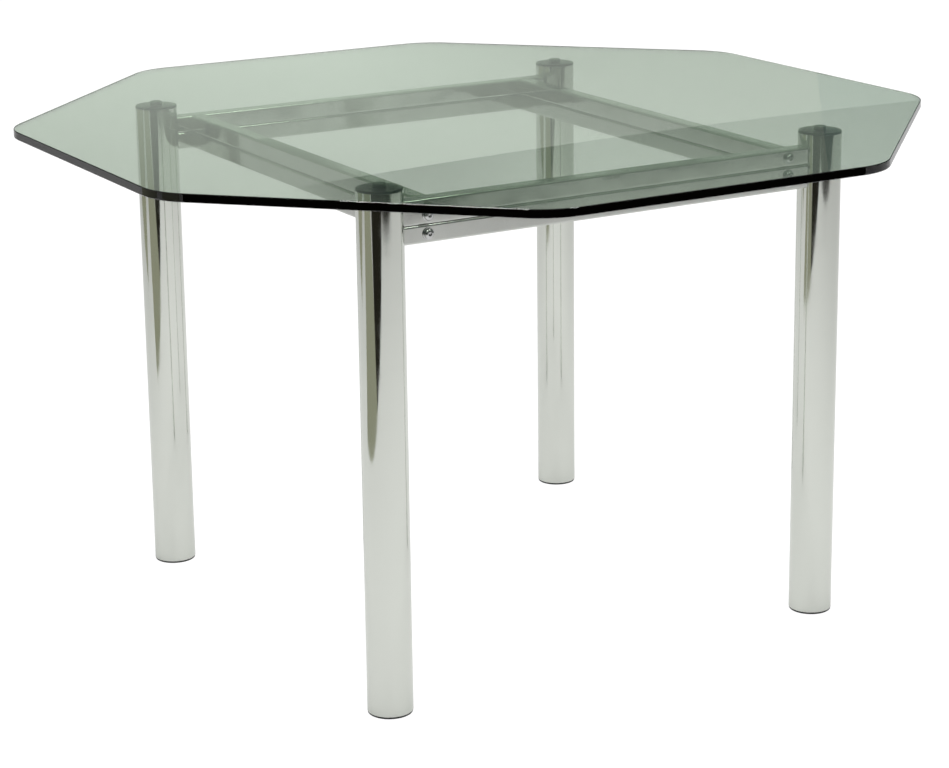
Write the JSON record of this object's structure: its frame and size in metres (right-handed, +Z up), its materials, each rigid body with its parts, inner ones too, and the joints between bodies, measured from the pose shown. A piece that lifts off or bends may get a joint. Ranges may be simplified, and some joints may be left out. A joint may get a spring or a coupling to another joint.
{
  "type": "dining table",
  "caption": "Octagonal glass dining table: a loose clear top on soft bumpers over a bolted frame of chromed tube with round corner legs.",
  "frame": {"origin": "on the floor, under the middle of the table", "axes": "+Z up; +X along the long rails, from the left pair of legs to the right pair; +Y from the front pair of legs to the rear pair"},
  "size_m": [1.27, 1.27, 0.743],
  "materials": {
    "clear_glass": "clear float glass with a faint green-grey tint, polished edges",
    "chrome_tube": "bright chrome plate on steel tube",
    "chrome_hardware": "bright chrome plate on bolts and washers",
    "plain_steel": "plain turned and cut steel, hidden inside the tubes",
    "black_plastic": "moulded black plastic",
    "black_rubber": "moulded black rubber"
  },
  "bodies": {
    "base": {"leg_front_left": "chrome_tube", "leg_cap_front_left": "black_plastic", "glass_bumper_front_left": "black_rubber", "foot_glide_front_left": "black_plastic", "leg_front_right": "chrome_tube", "leg_cap_front_right": "black_plastic", "glass_bumper_front_right": "black_rubber", "foot_glide_front_right": "black_plastic", "leg_rear_right": "chrome_tube", "leg_cap_rear_right": "black_plastic", "glass_bumper_rear_right": "black_rubber", "foot_glide_rear_right": "black_plastic", "leg_rear_left": "chrome_tube", "leg_cap_rear_left": "black_plastic", "glass_bumper_rear_left": "black_rubber", "foot_glide_rear_left": "black_plastic", "front_rail_upper": "chrome_tube", "front_rail_lower": "chrome_tube", "rear_rail_upper": "chrome_tube", "rear_rail_lower": "chrome_tube", "left_rail_upper": "chrome_tube", "left_rail_lower": "chrome_tube", "right_rail_upper": "chrome_tube", "right_rail_lower": "chrome_tube", "rail_bolts": "chrome_hardware", "bolt_washers": "chrome_hardware", "spacer_sleeves": "plain_steel", "threaded_plugs": "plain_steel"},
    "top": {"glass_top": "clear_glass"}
  },
  "joints": [
    {"name": "glass_lift", "type": "slide", "parent": "base", "child": "top", "axis": [0, 0, 1], "range_m": [0, 0.3]}
  ]
}
